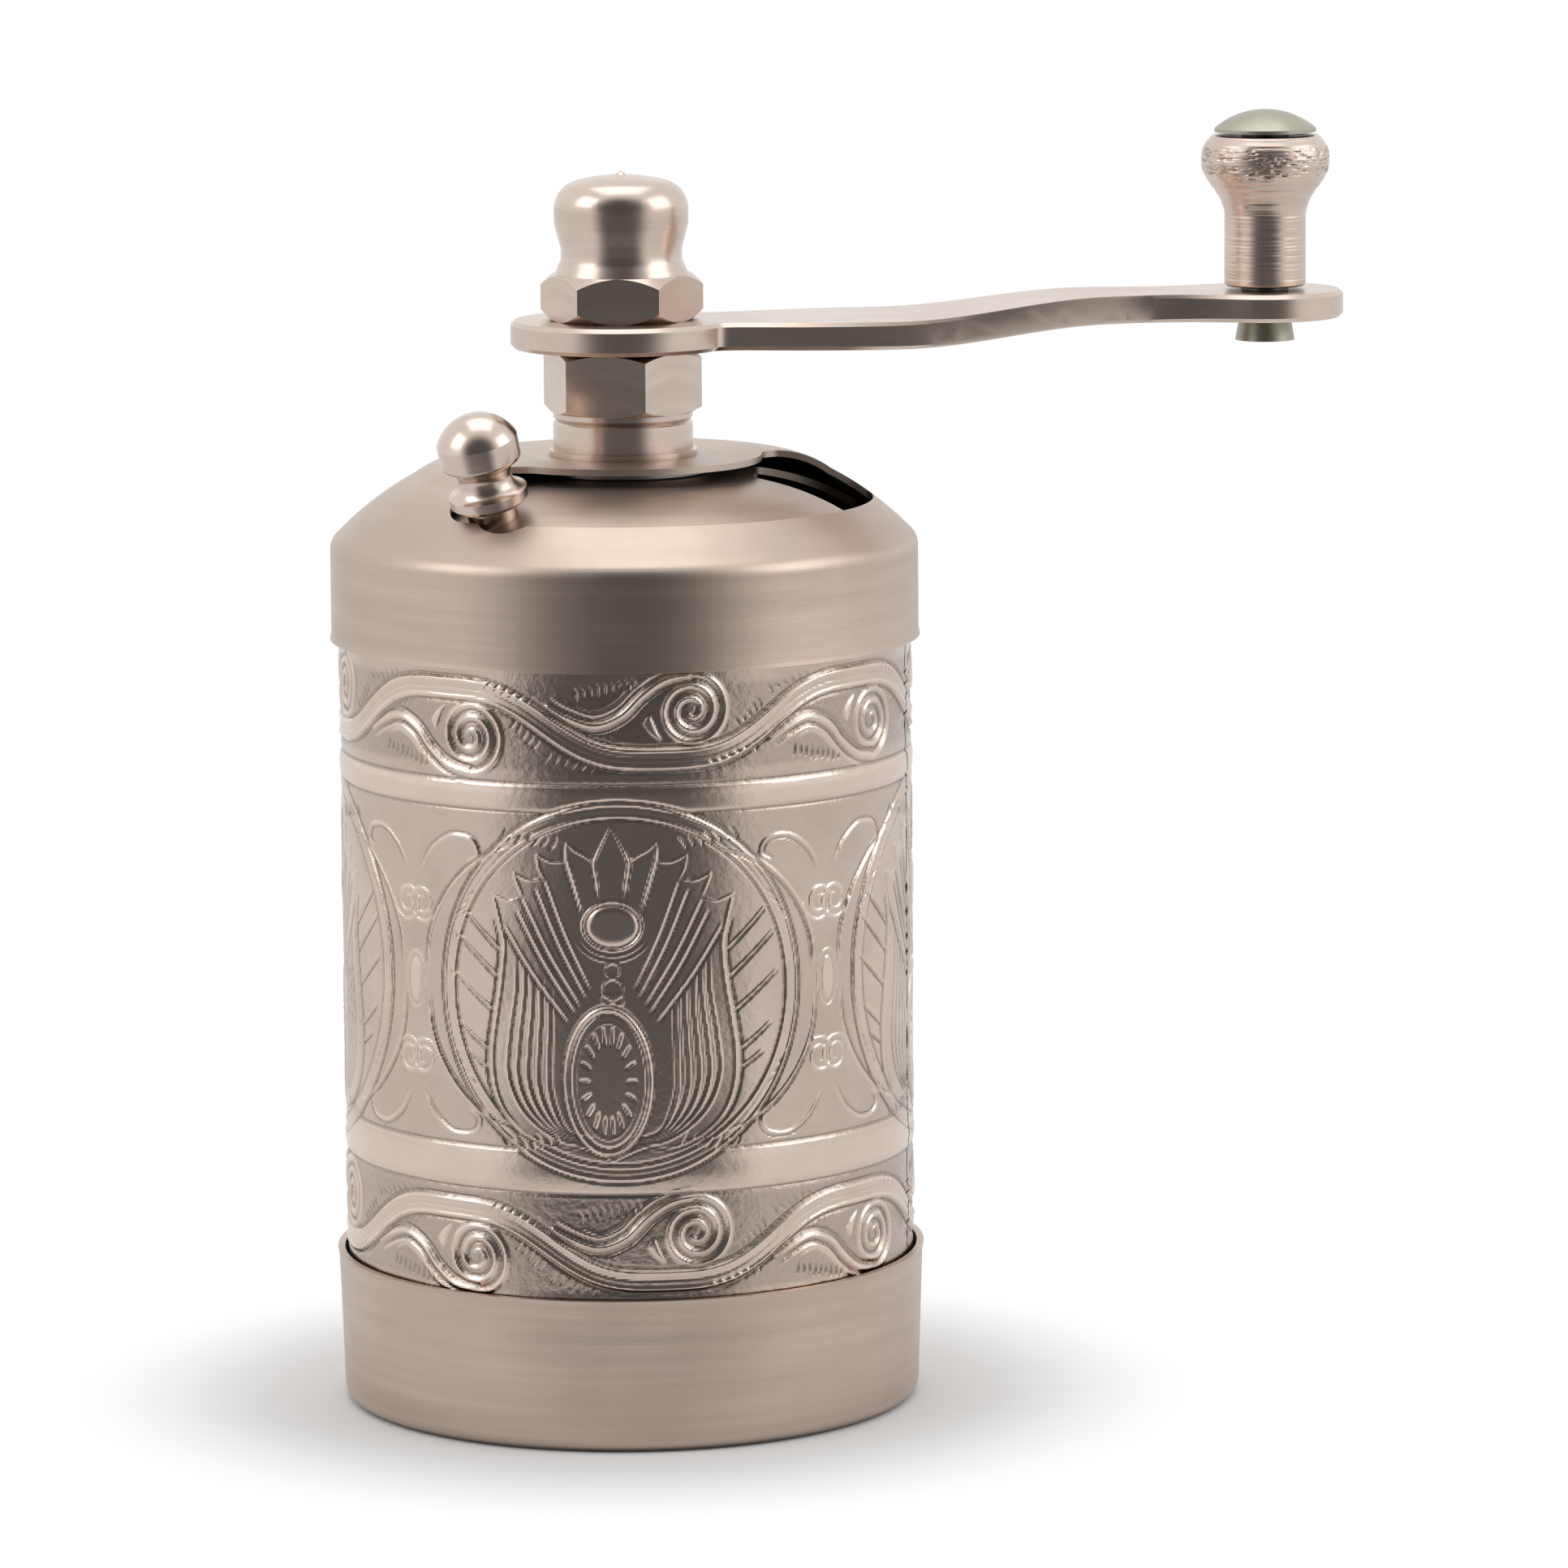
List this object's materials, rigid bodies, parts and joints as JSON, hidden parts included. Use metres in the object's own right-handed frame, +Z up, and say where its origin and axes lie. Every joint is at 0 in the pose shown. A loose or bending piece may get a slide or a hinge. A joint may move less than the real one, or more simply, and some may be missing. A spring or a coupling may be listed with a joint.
{
  "type": "hand coffee grinder mill",
  "caption": "Pocket-size cylinder hand mill with a top crank, an embossed metal body, a domed cap with a rotating fill shutter, conical burrs inside and a slip-on grounds cup.",
  "frame": {"origin": "centre of the cup's flat base, on the mill's axis, where it stands on a table", "axes": "+Z up along the mill's axis, -Y towards the front, +X towards the crank's knob"},
  "size_m": [0.0871, 0.0506, 0.11],
  "materials": {
    "satin_nickel": "satin nickel plate on spun sheet, brushed round the axis",
    "embossed_nickel": "bright nickel plate on embossed sheet, dark in the recesses",
    "polished_nickel": "polished nickel plate on turned metal",
    "arm_nickel": "polished nickel plate on a pressed steel arm",
    "turned_nickel": "turned metal with fine rings and pitting",
    "aged_nickel": "nickel plate gone dull and greenish",
    "inner_steel": "plain machined steel",
    "burr_iron": "hardened cast iron, dark"
  },
  "bodies": {
    "cup": {"grounds_cup": "satin_nickel"},
    "mill": {"barrel": "inner_steel", "embossed_sleeve": "embossed_nickel", "top_cap": "satin_nickel", "bearing_bush": "polished_nickel", "bush_washer": "polished_nickel", "bush_lock_nut": "inner_steel", "shutter_hub": "inner_steel", "shutter_washer": "inner_steel", "burr_ring": "burr_iron", "lower_bridge": "burr_iron", "bridge_screws": "inner_steel"},
    "shutter": {"shutter_plate": "satin_nickel", "shutter_pull": "polished_nickel"},
    "crank": {"shaft": "inner_steel", "stop_collar": "inner_steel", "collar_pin": "inner_steel", "inner_burr": "burr_iron", "burr_nut": "inner_steel", "crank_arm": "arm_nickel", "acorn_nut": "polished_nickel", "knob_pin": "aged_nickel"},
    "knob": {"crank_knob": "turned_nickel"},
    "adjuster": {"adjusting_screw": "inner_steel", "adjuster_lock_nut": "inner_steel"}
  },
  "joints": [
    {"name": "cup_pull", "type": "slide", "parent": "cup", "child": "mill", "axis": [0, 0, 1], "range_m": [0, 0.03]},
    {"name": "crank_turn", "type": "hinge", "parent": "mill", "child": "crank", "pos_m": [0, 0, 0.0907], "axis": [0, 0, 1], "continuous": true},
    {"name": "knob_spin", "type": "hinge", "parent": "crank", "child": "knob", "pos_m": [0.05509, 0.00676, 0.095], "axis": [0, 0, 1], "continuous": true},
    {"name": "shutter_turn", "type": "hinge", "parent": "mill", "child": "shutter", "pos_m": [0, 0, 0.0785], "axis": [0, 0, 1], "range_deg": [0, 115]},
    {"name": "adjuster_turn", "type": "hinge", "parent": "mill", "child": "adjuster", "pos_m": [0, 0, 0.008], "axis": [0, 0, 1], "range_deg": [-180, 180]}
  ]
}
